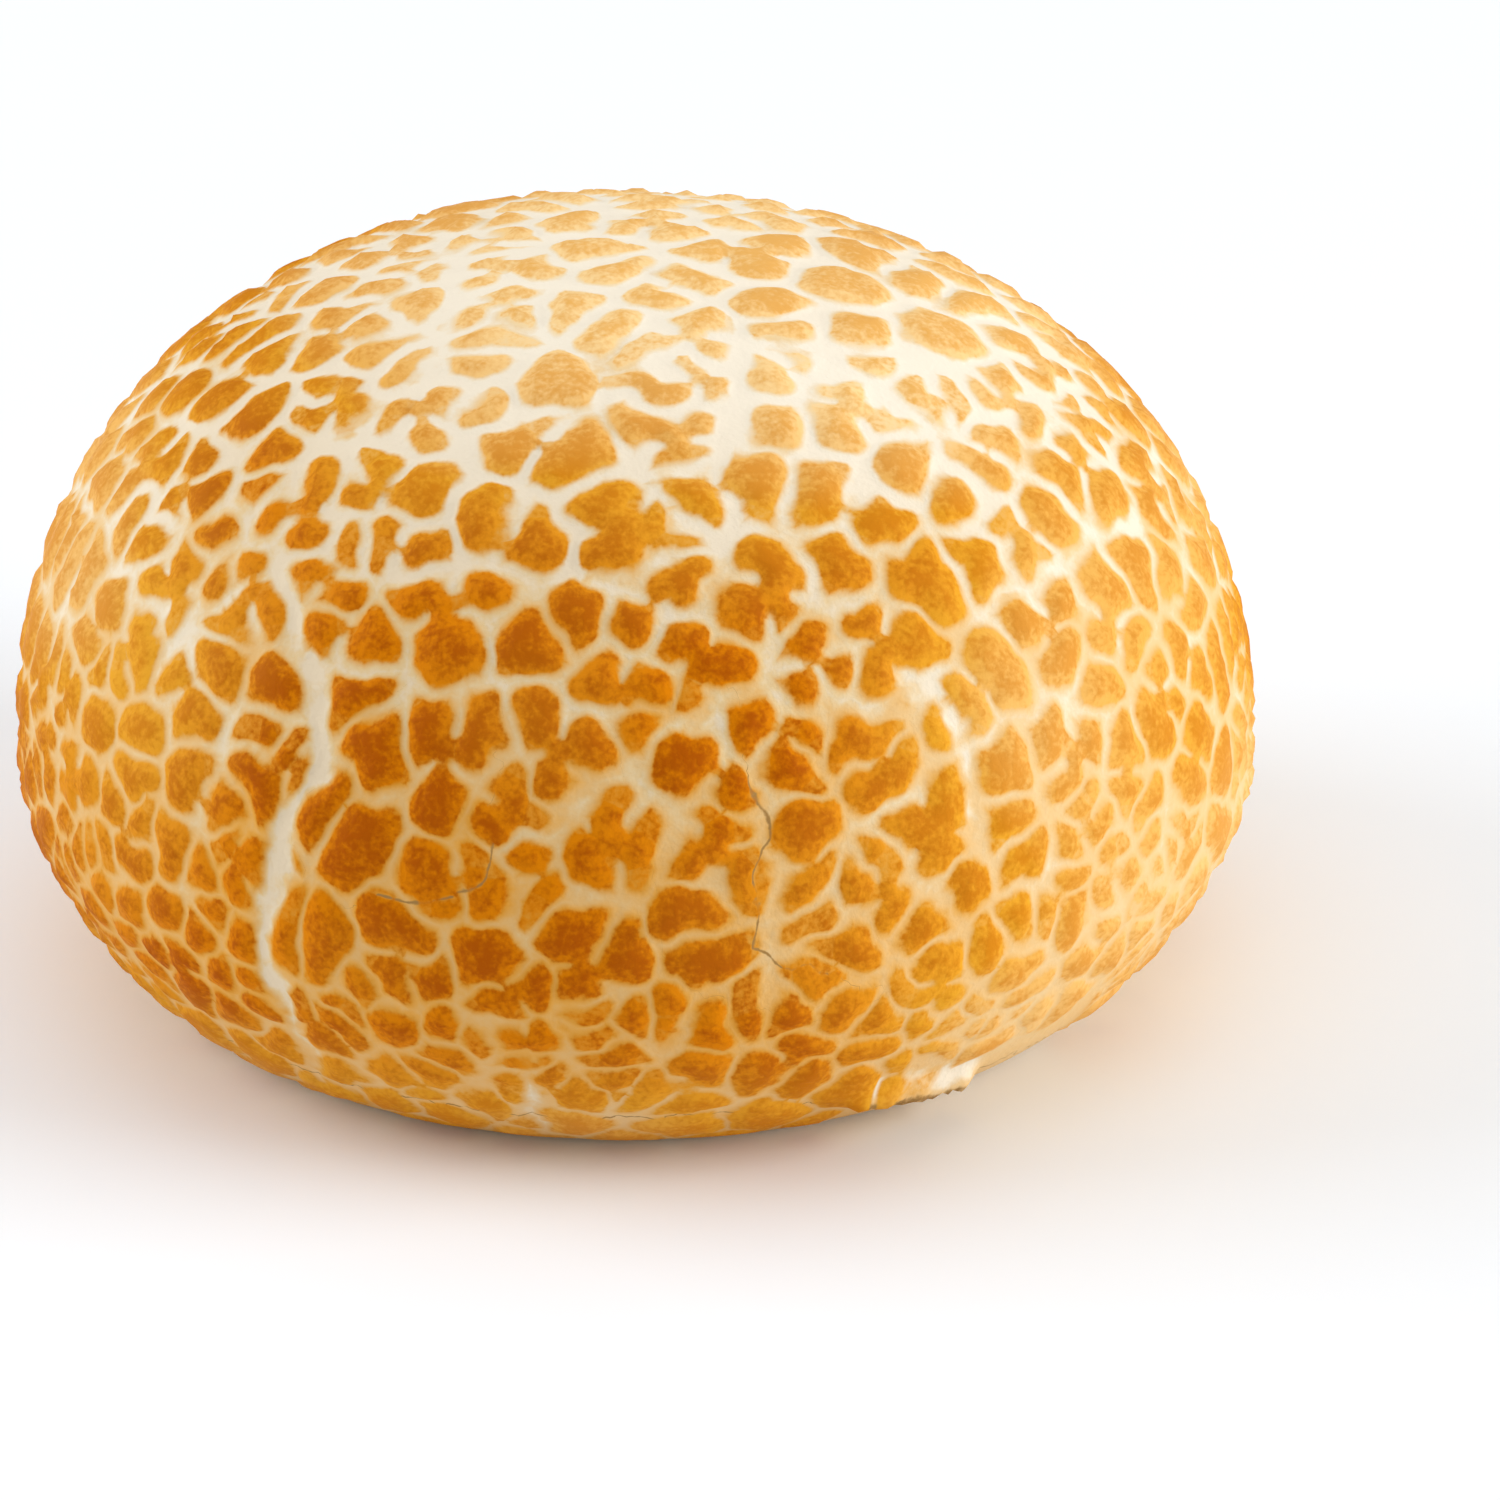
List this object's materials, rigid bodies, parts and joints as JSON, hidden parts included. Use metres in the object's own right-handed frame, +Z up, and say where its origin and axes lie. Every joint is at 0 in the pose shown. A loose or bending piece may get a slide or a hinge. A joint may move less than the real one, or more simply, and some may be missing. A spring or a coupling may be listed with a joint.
{
  "type": "tiger bread roll",
  "caption": "Round bread roll on a flat foot, with a domed golden crust burst into raised plaques with pale cracks between them.",
  "frame": {"origin": "middle of the flat foot, on the surface the roll rests on", "axes": "+Z up from the foot to the crown, front of the picture towards -Y, +X to the viewer's right"},
  "size_m": [0.1077, 0.1079, 0.0635],
  "materials": {
    "crust": null
  },
  "bodies": {
    "root": {"roll": "crust"}
  },
  "joints": []
}
